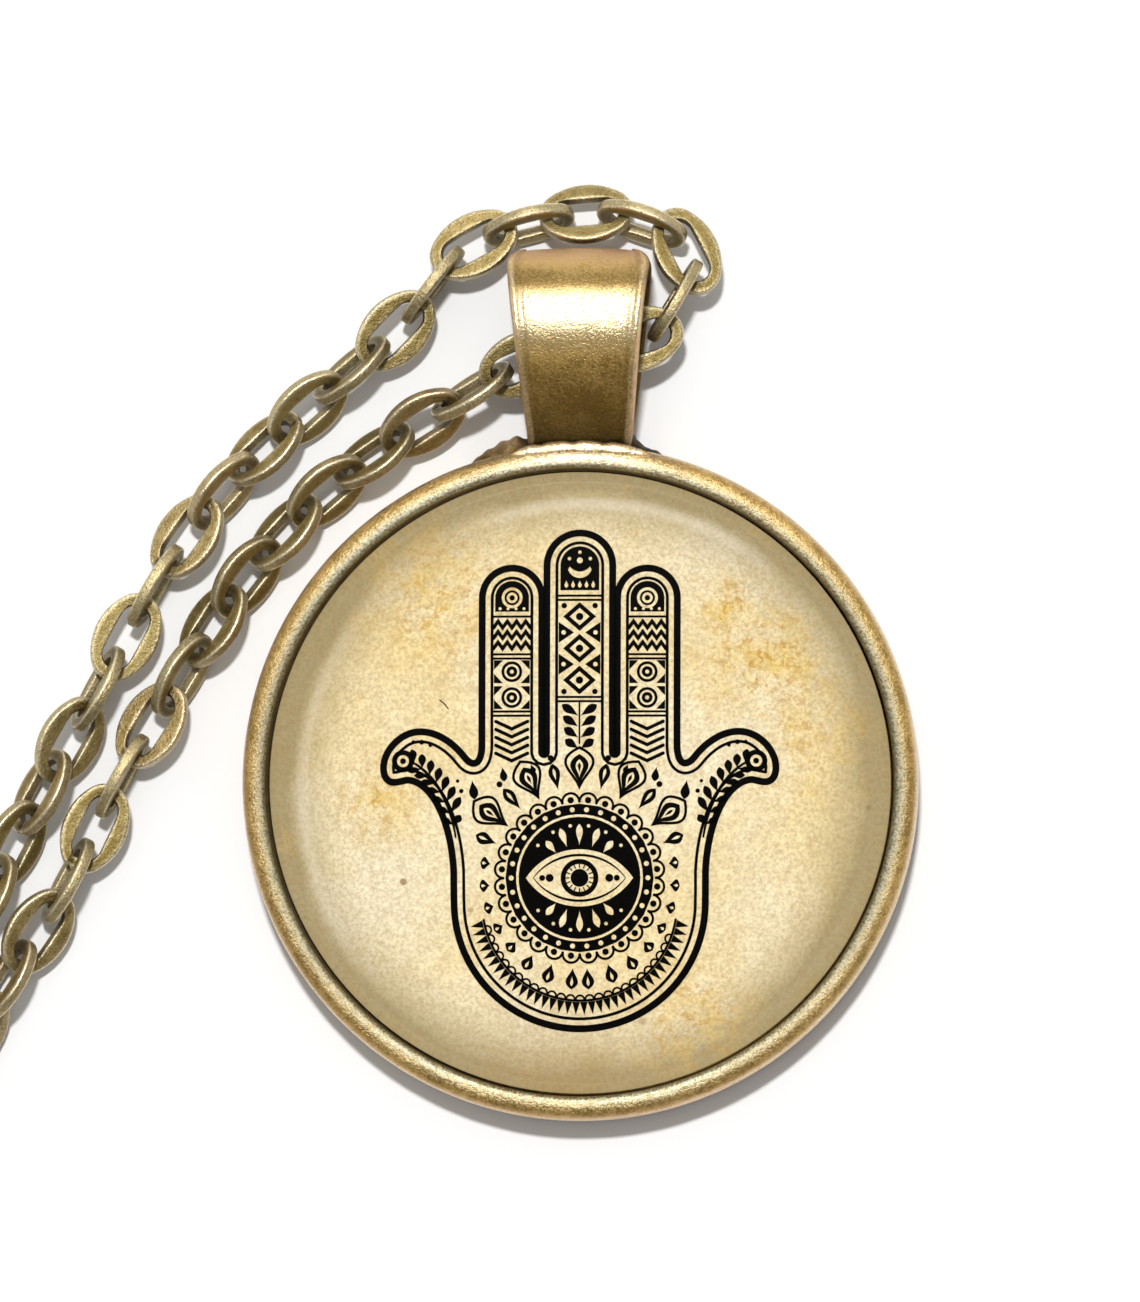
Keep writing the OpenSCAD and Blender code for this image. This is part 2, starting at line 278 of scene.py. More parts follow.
def parchment():
    """Parchment coloured paper with painted shade greyer towards its edge, and with yellow stains, brown
    specks and fine grain.
    """
    material, n = new_material("printed_paper")
    clouds = n.noise(0.16, 5.0, 0.55, 0.6)
    blots = n.noise(0.75, 6.0, 0.66, 0.3)
    foxing = n.noise(3.0, 4.0, 0.7, 0.5)
    grain = n.noise(7.0, 3.0, 0.75)
    fibre = n.noise(2.2, 5.0, 0.75)
    colour = n.mix(n.between(clouds, 0.36, 0.62), rgb(252, 241, 211), rgb(248, 229, 180))
    # Painted shade: greyer towards the edge, which the rim and the dome's edge shade; and browner at the
    # bottom
    edge = n.between(n.math("ADD", n.away_from(0.0, 0.0), n.times(clouds, 1.6)), 9.5, 12.2)
    edge = n.math("POWER", n.math("MAXIMUM", edge, 0.0), 1.5, clamp=True)
    colour = n.mix(n.times(edge, 0.9), colour, rgb(156, 143, 108))
    colour = n.mix(n.times(spot(n, -0.8, -12.0, 5.0), 0.4), colour, rgb(168, 138, 88))
    # Yellow stains with darker spots in them
    stain = 0.0
    for x, y, reach, strength in STAINS:
        stain = n.math("MAXIMUM", stain, n.times(spot(n, x, y, reach), strength))
    patchy = n.times(stain, n.between(blots, 0.40, 0.60), clamp=True)
    colour = n.mix(n.times(patchy, 0.95), colour, rgb(238, 202, 100))
    spotty = n.times(stain, n.between(foxing, 0.53, 0.6), clamp=True)
    colour = n.mix(n.times(spotty, 0.9), colour, rgb(204, 150, 60))
    colour = n.mix(n.between(blots, 0.6, 0.78, 0.0, 0.55), colour, rgb(220, 180, 108))
    # Scattered brown specks, and two more in places of their own
    specks = n.add("ShaderNodeTexVoronoi", {"Vector": n.coordinates(0.5), "Scale": 1.0, "Randomness": 1.0})
    dots = n.between(specks.outputs["Distance"], 0.03, 0.08, 1.0, 0.0)
    dots = n.times(dots, n.between(clouds, 0.46, 0.56))
    dots = n.math("MAXIMUM", dots, n.between(spot(n, -7.1, -3.98, 1.0), 0.84, 0.9))
    dots = n.math("MAXIMUM", dots, n.times(n.between(spot(n, 2.5, -9.6, 1.0), 0.8, 0.9), 0.6))
    colour = n.mix(n.times(dots, 0.75, clamp=True), colour, rgb(128, 84, 40))
    # The grain and the fibres of the paper
    colour = n.mix(n.between(grain, 0.34, 0.6, 0.42, 0.0), colour, rgb(138, 112, 68))
    colour = n.mix(n.between(fibre, 0.35, 0.62, 0.28, 0.0), colour, rgb(176, 146, 94))
    bumped = n.add("ShaderNodeBump", {"Strength": 0.15, "Distance": 0.00001, "Height": fibre})
    n.output(n.matt(colour, 0.8, 0.2, bumped))
    return material


def ink_material():
    material, n = new_material("black_ink")
    uneven = n.noise(5.0, 3.0, 0.6)
    colour = n.mix(n.between(uneven, 0.35, 0.7), rgb(3, 3, 2), rgb(12, 10, 7))
    n.output(n.matt(colour, 0.9, 0.05))
    return material


def floor_material():
    material, n = new_material("pale_floor")
    faint = n.noise(0.02, 2.0)
    colour = n.mix(n.between(faint, 0.3, 0.7), (0.83,) * 3 + (1.0,), (0.85,) * 3 + (1.0,))
    n.output(n.matt(colour, 0.9, 0.1))
    return material


TRAY_BRONZE = bronze("bronze_tray", *TRAY_COLOURS, grain=9.5, rough=(0.22, 0.6), bump=0.9)
CHAIN_BRONZE = bronze("bronze_chain", *CHAIN_COLOURS, grain=11.0, rough=(0.22, 0.64), bump=0.75)
GLASS = glass()
PAPER = parchment()
INK = ink_material()


# Pieces of the pendant


def piece(name, verts, faces, material, slot, values=None, smooth=True):
    mesh = bpy.data.meshes.new(name)
    mesh.from_pydata((np.asarray(verts, float) * MM).tolist(), [], [list(map(int, f)) for f in faces])
    for key, column in (values or {}).items():
        attribute = mesh.attributes.new(key, "FLOAT", "POINT")
        attribute.data.foreach_set("value", np.asarray(column, np.float32))
    mesh.polygons.foreach_set("use_smooth", [smooth] * len(mesh.polygons))
    mesh.materials.append(material)
    mesh.validate()
    obj = bpy.data.objects.new(name, mesh)
    scene.collection.objects.link(obj)
    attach(obj, "root")
    return obj


def grid_faces(rows, columns, close_rows=True, close_columns=True):
    """Quads of a grid whose vertex (i, j) has the number i * columns + j."""
    faces = []
    for i in range(rows if close_rows else rows - 1):
        for j in range(columns if close_columns else columns - 1):
            here, ahead = i * columns, (i + 1) % rows * columns
            after = (j + 1) % columns
            faces.append((here + j, ahead + j, ahead + after, here + after))
    return faces


def flipped(faces):
    return [tuple(reversed(f)) for f in faces]


def smooth_noise(u, seed, terms, first):
    """A periodic wobble of u, from -1 to 1, that is the same on each run."""
    local = np.random.default_rng(seed)
    total = sum(
        local.uniform(0.4, 1.0) / (k - first + 1) * np.sin(k * u + local.uniform(0, 2 * pi))
        for k in range(first, first + terms)
    )
    return total / 1.6


def cup():
    """The round cup as a lathe with a rounded crest, slightly uneven as a casting is."""
    # Radius, height, and how worn, dark, coppery and grainy the metal is there
    outer = [
        (CUP_R - 0.12, 0.0, 0, 0.3, 0, 0),
        (CUP_R - 0.03, 0.04, 0, 0.2, 0.2, 0),
        (CUP_R, 0.14, 0, 0, 0.3, 0),
    ]
    outer += [(CUP_R, z, 0.6, 0, 0.5, 0) for z in (0.8, 1.5, 2.1)]
    crest = []
    for a in np.linspace(0, pi / 2, 10):
        copper = np.interp(a, (0, 0.5, 1.0, 1.57), (0.75, 0.5, 0.05, 0))
        wear_and_sheen = np.interp(a, (0, 0.45, 0.75, 1.1, 1.57), (1.0, 0.7, 0.05, 0.0, 0.05))
        slope = np.interp(a, (0, 1.1, 1.57), (0, 0, 0.7))
        r, z = CUP_R - CREST_R + CREST_R * cos(a), RIM_H - CREST_R + CREST_R * sin(a)
        crest.append((r, z, wear_and_sheen, 0, copper, slope))
    inner = [
        (12.95, 2.899, 0.05, 0, 0, 0.85),
        (12.9, 2.896, 0.05, 0, 0, 1),
        (12.84, 2.888, 0.05, 0, 0, 1),
        (12.78, 2.874, 0, 0, 0, 1),
        (12.73, 2.85, 0, 0, 0, 1),
        (12.68, 2.8, 0, 0.1, 0, 1),
        (12.64, 2.7, 0, 0.5, 0, 0.6),
        (12.615, 2.5, 0, 0.95, 0, 0),
        (SEAT_R, 2.2, 0, 1, 0, 0),
        (SEAT_R, 1.6, 0, 1, 0, 0),
        (SEAT_R, FLOOR_T + 0.05, 0, 1, 0, 0),
        (SEAT_R - 0.1, FLOOR_T, 0, 1, 0, 0),
        (6.0, FLOOR_T, 0, 1, 0, 0),
    ]
    # The rows that are a little uneven, and those by the bail's foot that get a painted highlight and copper
    uneven_rows = range(len(outer), len(outer) + 17)
    foot_sheen_rows = range(len(outer) + 4, len(outer) + 14)
    section = np.array(outer + crest + inner)
    steps = 320
    angle = np.arange(steps) * 2 * pi / steps
    by_bail = np.exp(-(((angle - pi / 2) / FOOT_SPREAD) ** 2))
    verts, values = [], {"wear_and_sheen": [], "patina_and_shade": [], "copper": [], "slope": []}
    for k, (r, z, wear_and_sheen, patina_and_shade, copper, slope) in enumerate(section):
        in_r = 0.016 * smooth_noise(angle, 3, 9, 2) + 0.01 * smooth_noise(angle, 40 + k, 14, 20)
        in_z = 0.02 * smooth_noise(angle, 5, 10, 3) + 0.008 * smooth_noise(angle, 80 + k, 16, 24)
        lively = float(k in uneven_rows)
        radius, height = r - lively * np.abs(in_r), z - lively * np.abs(in_z)
        verts.append(np.stack([radius * np.cos(angle), radius * np.sin(angle), height], 1))
        foot_sheen_and_copper = by_bail * float(k in foot_sheen_rows)
        # Painted shade: the inner slope is darker at the left and right, which the light from the bail's
        # side reaches less
        side_slope_shade = 0.5 * slope * np.cos(angle) ** 2
        shares = {
            "wear_and_sheen": wear_and_sheen * (1 + 0.5 * smooth_noise(angle, 11, 10, 3)) + 0.7 * foot_sheen_and_copper,
            "patina_and_shade": patina_and_shade * (1 + 0.35 * smooth_noise(angle, 17, 12, 2)) + side_slope_shade,
            "copper": copper * (0.75 + 0.6 * smooth_noise(angle, 23, 8, 1)) + 0.3 * foot_sheen_and_copper,
            "slope": slope * (0.9 + 0.3 * smooth_noise(angle, 29, 9, 2)),
        }
        for key, share in shares.items():
            values[key].append(np.clip(share, 0, 1))
    rows = len(section)
    faces = flipped(grid_faces(rows, steps, close_rows=False))
    faces.append(tuple(reversed(range(steps))))
    faces.append(tuple((rows - 1) * steps + j for j in range(steps)))
    return verts, faces, values


def belt(c1, r1, c2, r2, counts):
    """Points of a belt round two circles, in Y and Z: crown arc, back run, foot arc and front run."""
    c1, c2 = np.array(c1), np.array(c2)
    base = atan2(*(c1 - c2)[::-1])
    lean = asin((r1 - r2) / np.linalg.norm(c2 - c1))
    top, low = base + lean + pi / 2, base - lean - pi / 2
    points = []

    def bend(c, r, a0, a1, count):
        for k in range(count):
            a = a0 + (a1 - a0) * k / count
            points.append((*(c + r * np.array([cos(a), sin(a)])), a))

    def run(c_from, r_from, c_to, r_to, a, count):
        d = np.array([cos(a), sin(a)])
        p, q = c_from + r_from * d, c_to + r_to * d
        for k in range(count):
            points.append((*(p + (q - p) * k / count), a))

    bend(c1, r1, top, low, counts[0])
    run(c1, r1, c2, r2, low, counts[1])
    bend(c2, r2, low, top - 2 * pi, counts[2])
    run(c2, r2, c1, r1, top, counts[1])
    return np.array(points)


def bail_half(y):
    """Half the bail's width at a distance y from the tray's centre, with the round corners at its end."""
    foot, end = BAIL_FOOT_W / 2, BAIL_W / 2
    half = foot + (end - foot) * np.clip((y - CUP_R) / (BAIL_END - CUP_R), -0.1, 1)
    over = np.clip(y - (BAIL_END - BAIL_CORNER), 0, BAIL_CORNER)
    return half - BAIL_CORNER + np.sqrt(BAIL_CORNER**2 - over**2)


def bail():
    """The folded strap: a pillowed face with soft raised margins all round its opening."""
    crown, foot_r, hollow_r = (BAIL_END - BAIL_R, BAIL_R), 1.25, 0.85
    front_top = crown[0] + 0.9
    counts = (56, 30, 20)
    outside = belt(crown, BAIL_R, (CUP_R + 0.3, foot_r), foot_r, counts)
    hollow_foot = (CUP_R + 1.15 + hollow_r, STRAP_T + hollow_r)
    inside = belt(crown, BAIL_R - STRAP_T, hollow_foot, hollow_r, counts)
    # Across the strap: share of the flat width or inset from the side, and depth from its face
    face = [(f, 0.05 * f * f) for f in (0.0, 0.2, 0.4, 0.6, 0.8, 1.0)]
    margin = [(0.54, 0.064), (0.47, 0.088), (0.4, 0.09), (0.33, 0.066), (0.26, 0.034), (0.2, 0.026)]
    margin += [(0.14, 0.042), (0.09, 0.085), (0.05, 0.15), (0.02, 0.24), (0.0, 0.36)]
    flat_inset = 0.62
    across = [("face", f, d, 0) for f, d in face] + [("side", i, d, 0) for i, d in margin]
    across += [("side", i, d, 1) for i, d in ((0.0, 0.22), (0.03, 0.08), (0.12, 0.0))]
    across += [("face", f, 0.0, 1) for f in (1.0, 0.5, 0.0)]
    ring = across + across[-2:0:-1]
    signs = [1] * len(across) + [-1] * (len(across) - 2)
    # How worn, coppery and dark the margin is at its insets, and how pale the band across the front is
    # painted: polish, and a painted highlight where the light falls on the crown
    wear_at = {0.26: 0.3, 0.2: 0.5, 0.14: 0.5, 0.09: 0.3}
    copper_at = {0.14: 0.15, 0.09: 0.5, 0.05: 0.8, 0.02: 0.9, 0.0: 0.9}
    groove_at = {0.54: 0.15, 0.47: 0.4, 0.4: 0.4, 0.33: 0.2}
    polish_and_highlight = (16.9, 17.5, 18.1, 19.3, 19.8), (0.0, 0.25, 0.8, 0.8, 0.05)
    verts, shades = [], []
    for (yo, zo, ao), (yi, zi, ai) in zip(outside, inside):
        out, into = np.array([cos(ao), sin(ao)]), np.array([cos(ai), sin(ai)])
        # The front swells a little between the crown and the foot
        down = (front_top - yo) / (front_top - CUP_R + 0.3)
        swell = 0.3 * sin(pi * down) ** 2 if 0 < down < 1 and out[1] > 0 else 0.0
        for (kind, f, d, inner), sign in zip(ring, signs):
            y, z = (yi, zi) + into * d if inner else (yo, zo) + out * (swell - d)
            half = bail_half(y)
            verts.append((sign * (f * (half - flat_inset) if kind == "face" else half - f), y, z))
            if inner:
                shades.append((0.0, 0.9, 0.0))
                continue
            inset = f if kind == "side" else None
            worn = crown_shade_line = 0.0
            if out[1] >= 0:
                worn = np.interp(y, *polish_and_highlight)
                # Painted shade: a dark line beyond the highlight band, where the crown turns away from the
                # light
                crown_shade_line = 0.5 * exp(-(((y - 20.15) / 0.42) ** 2))
            over_end = 0.85 * np.clip((y - (BAIL_END - 1.0)) / 0.7, 0, 1)
            by_foot = np.clip(1 - (y - CUP_R) / 3.6, 0, 1) * (0.9 if kind == "face" or f > 0.3 else 0.5)
            # Painted shade: the underside of the strap is darker
            underside_shade = 0.55 if out[1] < -0.2 else 0.0
            wear_and_sheen = max(worn, wear_at.get(inset, 0.0))
            patina_and_shade = max(underside_shade, by_foot, groove_at.get(inset, 0.0), crown_shade_line)
            shades.append((wear_and_sheen, patina_and_shade, max(over_end, copper_at.get(inset, 0.0))))
    verts = np.array(verts)
    x, y, z = verts.T
    # Faint unevenness of the face, as cast and plated
    z -= 0.012 * np.abs(np.sin(2.21 * y + 1.17 * x) * np.sin(2.1 * x + 1)) * (z > 3.2)
    # Painted highlight and shade: lighter and darker bands along the strap, following how the light falls on
    # its curve
    light_and_shade_bands = (15.6, 16.6, 17.2, 17.6, 19.3, 19.9, 20.5, 21.2), (-0.5, 0.2, 2.5, 4.5, 4.0, -1.0, 0.5, 2.0)
    values = dict(zip(("wear_and_sheen", "patina_and_shade", "copper"), np.transpose(shades)))
    values["tone_and_light"] = np.interp(y, *light_and_shade_bands) * (z > 2.0)
    return verts, grid_faces(len(outside), len(ring)), values


def rim_y(x):
    return np.sqrt(CUP_R**2 - x * x)


# Lumps of the solder: share of the run, angle above the level in radians, reach along and up, and rise
LEFT_LUMPS = (
    (0.3, 0.55, 0.11, 0.5, 0.3),
    (0.52, 0.35, 0.1, 0.45, 0.24),
    (0.72, 0.6, 0.09, 0.4, 0.2),
    (0.88, 0.45, 0.07, 0.4, 0.14),
    (0.42, 1.0, 0.08, 0.35, 0.14),
    (0.62, 1.0, 0.07, 0.35, 0.12),
)
RIGHT_LUMPS = ((0.66, 0.6, 0.1, 0.4, 0.04),)
# Shares of the right run and how far the solder stands out from the rim there
RIGHT_WEB = (0, 0.134, 0.227, 0.388, 0.64, 0.79, 1), (1.4, 0.975, 0.626, 0.355, 0.276, 0.09, 0.05)


def solder(side, run, lumps):
    """Solder that runs out along the rim beside the bail's foot; side is -1 at the left, 1 at the right."""
    low = radians(20)
    t, a = np.meshgrid(np.linspace(0, 1, 48), np.linspace(-low, radians(130), 24), indexing="ij")
    x = BAIL_FOOT_W / 2 - 0.3 + (run + 0.3) * t
    bump = 0.02 * np.sin(7 * a + 15 * t + side) * (1 - t)
    for at, high, along, up, rise in lumps:
        bump += rise * np.exp(-(((t - at) / along) ** 2) - ((a - high) / up) ** 2)
    raised = np.maximum(0, bump)
    out = 0.05 + 0.55 * (1 - t**3) if side < 0 else np.interp(t, *RIGHT_WEB)
    reach = (out + bump) * np.maximum(0, np.cos(a)) - 0.3 * np.maximum(0, -np.cos(a))
    share = np.where(a > 0, 0.35 + 0.65 * np.sin(a), 0.35 * (1 + a / low))
    height = (2.25 - 0.35 * t) * share + 0.4 * bump * np.sin(np.maximum(0, a))
    verts = np.stack([side * x, rim_y(x) - 0.1 + reach, np.maximum(0, height)], 2)
    dark = np.maximum(0.1, 1 - 2.6 * raised - 0.4 * t) if side < 0 else 1.5 - 2 * raised
    values = {
        "wear_and_sheen": np.minimum(0.8, 2.2 * np.maximum(0, bump - 0.05)),
        "patina_and_shade": dark,
        "copper": np.minimum(0.7, 2.0 * np.maximum(0, bump - 0.02)),
    }
    faces = grid_faces(*t.shape, close_rows=False, close_columns=False)
    return verts, flipped(faces) if side > 0 else faces, values


def front_bead():
    """The uneven bead of solder where the bail's face meets the rim."""
    x, a = np.meshgrid(np.linspace(-2.8, 2.8, 90), np.arange(14) * 2 * pi / 14, indexing="ij")
    end = np.maximum(0, 1 - np.abs(x / 2.81) ** 4)
    wide = 0.1 + end * (0.23 + 0.03 * np.sin(5 * x) + 0.015 * np.sin(9.7 * x + 1))
    high = 0.05 + end * (0.18 + 0.02 * np.sin(7 * x + 2))
    verts = np.stack([x, rim_y(x) - 0.17 + wide * np.cos(a), 2.62 + high * np.sin(a)], 2)
    dark = np.abs(x) > 2.5
    values = {
        "wear_and_sheen": np.where(dark, 0.1, 0.85 + 0.15 * np.sin(6 * x)),
        "patina_and_shade": np.where(np.cos(a) > 0.85, 0.6, 0.05),
        "copper": np.where(dark, 0.2, 0.15 + 0.25 * np.maximum(0, np.sin(4.3 * x + 2))),
    }
    return verts, flipped(grid_faces(*x.shape, close_rows=False)), values


def joined(name, parts, material, slot):
    """One piece of several parts, each with its vertices, faces and values, which may come in rows."""
    verts, faces, columns, start = [], [], {}, 0
    for v, f, values in parts:
        v = np.reshape(v, (-1, 3))
        verts.append(v)
        faces += [tuple(i + start for i in face) for face in f]
        for key in ("wear_and_sheen", "patina_and_shade", "copper", "slope", "tone_and_light"):
            columns.setdefault(key, []).append(np.ravel(values.get(key, np.zeros(len(v)))))
        start += len(v)
    values = {key: np.concatenate(column) for key, column in columns.items()}
    return piece(name, np.concatenate(verts), faces, material, slot, values)


tray_parts = [cup(), bail(), solder(-1, 2.5, LEFT_LUMPS), solder(1, 1.75, RIGHT_LUMPS), front_bead()]
tray = joined("tray_cast", tray_parts, TRAY_BRONZE, "antique_bronze")
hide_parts("tray")


def cabochon():
    """Domed glass with a softly ground edge; its flat back lies against the paper."""
    bottom = PAPER_TOP - 0.02
    top = GLASS_Z + GLASS_H
    centre = top - DOME_R
    section = [(GLASS_R - 0.12, bottom), (GLASS_R, bottom + 0.1)]
    section += [(GLASS_R, GLASS_Z + GIRDLE_H * s) for s in (0.35, 0.7, 0.92)]
    limit = asin(GLASS_R / DOME_R)
    for a in np.linspace(limit * 0.992, 0.0, 48)[:-1]:
        section.append((DOME_R * sin(a), centre + DOME_R * cos(a)))
    steps = 192
    angle = np.arange(steps) * 2 * pi / steps
    verts = [np.stack([r * np.cos(angle), r * np.sin(angle), np.full(steps, z)], 1) for r, z in section]
    verts = np.concatenate(verts + [np.array([[0, 0, top]])])
    rows = len(section)
    faces = flipped(grid_faces(rows, steps, close_rows=False))
    faces.append(tuple(reversed(range(steps))))
    last = (rows - 1) * steps
    faces += [(last + j, last + (j + 1) % steps, rows * steps) for j in range(steps)]
    return verts, faces


dome = piece("glass_dome", *cabochon(), GLASS, "clear_glass")
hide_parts("cabochon")


def dressed(name, material):
    """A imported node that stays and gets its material."""
    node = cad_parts[name]
    node.data.materials.clear()
    node.data.materials.append(material)
    return node


dressed("print_disc", PAPER)


# The printed hand


def turned(x, y, r, angle):
    """The point at a distance r from x, y in a direction in degrees."""
    a = radians(angle)
    return x + r * cos(a), y + r * sin(a)


def arc(x, y, r, start, end, count=24):
    a = np.radians(np.linspace(start, end, count))
    return np.stack([x + r * np.cos(a), y + r * np.sin(a)], 1)


def bezier(p0, p1, p2, p3, count):
    t = np.linspace(0, 1, count)[:, None]
    p0, p1, p2, p3 = (np.array(p, float) for p in (p0, p1, p2, p3))
    return (1 - t) ** 3 * p0 + 3 * (1 - t) ** 2 * t * p1 + 3 * (1 - t) * t * t * p2 + t**3 * p3


class Ink:
    """Flat shapes of ink in the plane of the print, as seen from above through the glass."""

    def __init__(self):
        self.verts, self.faces, self.count = [], [], 0

    def put(self, points, faces, mirror):
        points = np.asarray(points, float)
        for sign in (1, -1) if mirror else (1,):
            self.verts.append(points * (sign, 1))
            self.faces += [tuple(i + self.count for i in (f if sign > 0 else reversed(f))) for f in faces]
            self.count += len(points)

    def fill(self, points, mirror=False):
        points = np.asarray(points, float)
        x, y = points.T
        if np.sum(x * np.roll(y, -1) - y * np.roll(x, -1)) < 0:
            points = points[::-1]
        n = len(points)
        verts = np.vstack([points, points.mean(0)])
        self.put(verts, [(i, (i + 1) % n, n) for i in range(n)], mirror)

    def dot(self, x, y, r, mirror=False):
        self.fill(arc(x, y, r, 0, 345, 24), mirror)

    def ring(self, x, y, r, width, mirror=False):
        self.stroke(arc(x, y, r, 0, 360, 48), width, mirror, closed=True)

    def stroke(self, points, width, mirror=False, closed=False, ends=(1.0, 1.0)):
        """A line of the given width; ends gives its width at both ends as shares of it."""
        p = np.asarray(points, float)
        if closed and np.allclose(p[0], p[-1]):
            p = p[:-1]
        if closed:
            before, after = np.roll(p, 1, 0), np.roll(p, -1, 0)
        else:
            before, after = np.vstack([p[0] * 2 - p[1], p[:-1]]), np.vstack([p[1:], p[-1] * 2 - p[-2]])
        arriving, leaving = p - before, after - p
        arriving /= np.linalg.norm(arriving, axis=1)[:, None] + 1e-12
        leaving /= np.linalg.norm(leaving, axis=1)[:, None] + 1e-12
        along = arriving + leaving
        along /= np.linalg.norm(along, axis=1)[:, None] + 1e-12
        normal = np.stack([-along[:, 1], along[:, 0]], 1)
        mitre = 1 / np.clip(np.sum(along * arriving, 1), 0.6, 1)
        n = len(p)
        share = 1.0
        if ends != (1.0, 1.0):
            at = np.linspace(0, 1, n)
            grow = np.clip(np.minimum(at, 1 - at) / 0.45, 0, 1)
            tip = np.where(at < 0.5, *ends)
            share = tip + (1 - tip) * np.sin(grow * pi / 2)
        half = (width / 2 * mitre * share)[:, None] * normal
        verts = np.vstack([p - half, p + half])
        last = n if closed else n - 1
        faces = [(i, (i + 1) % n, n + (i + 1) % n, n + i) for i in range(last)]
        self.put(verts, faces, mirror)
        if not closed:
            for q, end in ((p[0], ends[0]), (p[-1], ends[1])):
                if end > 0.3:
                    self.dot(q[0], q[1], width / 2 * end, mirror)

    def drop(self, x, y, angle, length, width, mirror=False, line=None):
        """A teardrop with its point at x, y and its round end at a distance length in that direction."""
        t = np.linspace(0, 1, 15)
        half = width / 2 * np.sin(pi * t**1.6) ** 0.9
        side = np.stack([t * length, half], 1)
        side = np.concatenate([side, (side * (1, -1))[-2:0:-1]])
        a = radians(angle)
        side = side @ np.array([[cos(a), sin(a)], [-sin(a), cos(a)]]) + (x, y)
        if line:
            self.stroke(side, line, mirror, closed=True)
        else:
            self.fill(side, mirror)


def silhouette():
    """The hand's closed outline: from the middle fingertip round to the palm's end, and its mirror image."""
    right = np.vstack(
        [
            arc(0, TIP_Y, 1.32, 90, 0, 22),
            [(1.32, 6.0), (1.32, 3.0), (1.32, 1.25)],
            arc(1.42, 1.2, 0.1, 180, 360, 9),
            [(1.52, 3.0), (1.52, 6.0), (1.52, 7.3)],
            arc(SIDE_X, SIDE_TIP_Y, 1.2, 180, 0, 26),
            [(3.92, 6.0), (3.92, 4.0), (3.92, 2.0)],
            bezier((3.92, 1.5), (3.92, 0.75), (4.25, 0.55), (4.6, 0.98), 14),
            bezier((4.68, 1.08), (5.3, 1.85), (6.3, 2.35), (7.15, 1.82), 18),
            bezier((7.2, 1.78), (7.7, 1.45), (8.02, 0.8), (7.84, 0.28), 14),
            bezier((7.8, 0.2), (7.6, -0.12), (7.25, 0.05), (6.95, 0.1), 10),
            bezier((6.88, 0.1), (5.9, 0.0), (5.15, -1.6), (5.06, -3.6), 22),
            bezier((5.06, -3.7), (5.06, -4.1), (5.06, -4.5), (5.05, -4.85), 6),
            arc(0, PALM_Y, 5.05, -2, -90, 40),
        ]
    )
    return np.vstack([right, (right * (-1, 1))[-2:0:-1]])


def resampled(points, step):
    p = np.vstack([points, points[:1]])
    s = np.concatenate([[0], np.cumsum(np.linalg.norm(np.diff(p, axis=0), axis=1))])
    t = np.linspace(0, s[-1], int(s[-1] / step), endpoint=False)
    return np.stack([np.interp(t, s, p[:, 0]), np.interp(t, s, p[:, 1])], 1)


def inset(points, distance):
    """The stretches of a line that runs inside the hand at a distance from its outline."""
    p = resampled(points, 0.05)
    ahead = np.roll(p, -1, 0) - np.roll(p, 1, 0)
    ahead /= np.linalg.norm(ahead, axis=1)[:, None]
    moved = p + distance * np.stack([ahead[:, 1], -ahead[:, 0]], 1)
    gap = np.array([np.min(np.linalg.norm(p - q, axis=1)) for q in moved])
    return moved[gap > 0.985 * distance]


def fingertips(ink, bare, over):
    """A crescent on the middle finger's tip and a ringed bead on the others."""
    ink.fill(np.vstack([arc(0, TIP_Y, 0.78, 180, 0, 30), [(0.78, 7.72), (-0.78, 7.72)]]))
    bare.fill(np.vstack([arc(0, TIP_Y, 0.5, 200, 340, 24), arc(0, 9.0, 0.52, -38, -142, 24)]))
    for x, y, r in ((0, 8.93, 0.12), (-0.42, 9.0, 0.07), (0.42, 9.0, 0.07), (0, 9.26, 0.07)):
        bare.dot(x, y, r)
    for x in (-0.54, -0.27, 0, 0.27, 0.54):
        bare.drop(x, 8.12, -90, 0.3, 0.15)
    side_tip = np.vstack([arc(SIDE_X, SIDE_TIP_Y, 0.68, 180, 0, 26), [(3.4, 6.86), (2.04, 6.86)]])
    ink.fill(side_tip, mirror=True)
    bare.dot(SIDE_X, SIDE_TIP_Y, 0.42, mirror=True)
    over.ring(SIDE_X, SIDE_TIP_Y, 0.26, 0.09, mirror=True)
    over.dot(SIDE_X, SIDE_TIP_Y, 0.11, mirror=True)
    for x in (2.24, 2.56, 2.88, 3.2):
        bare.dot(x, 6.98, 0.06, mirror=True)


def middle_finger(ink, bare, over):
    """Lozenges and triangles between bars, then a vine."""
    for y in (7.5, 7.33, 3.42, 3.25):
        ink.stroke([(-0.86, y), (0.86, y)], 0.09)
    for y in (6.66, 5.38, 4.1):
        ink.fill([(0.66, y), (0, y + 0.58), (-0.66, y), (0, y - 0.58)])
        bare.fill([(0.4, y), (0, y + 0.35), (-0.4, y), (0, y - 0.35)])
        over.dot(0, y, 0.15)
    for y in (6.02, 4.74):
        ink.fill([(0.84, y + 0.42), (0.22, y), (0.84, y - 0.42)], mirror=True)
        bare.dot(0.64, y, 0.09, mirror=True)
    for y in (7.1, 3.64):
        ink.dot(0.62, y, 0.11, mirror=True)
    ink.stroke([(0, 3.2), (0, 1.55)], 0.07)
    for k in range(4):
        ink.drop(0.03, 2.66 - 0.44 * k, 34, 0.82 - 0.05 * k, 0.34, mirror=True)


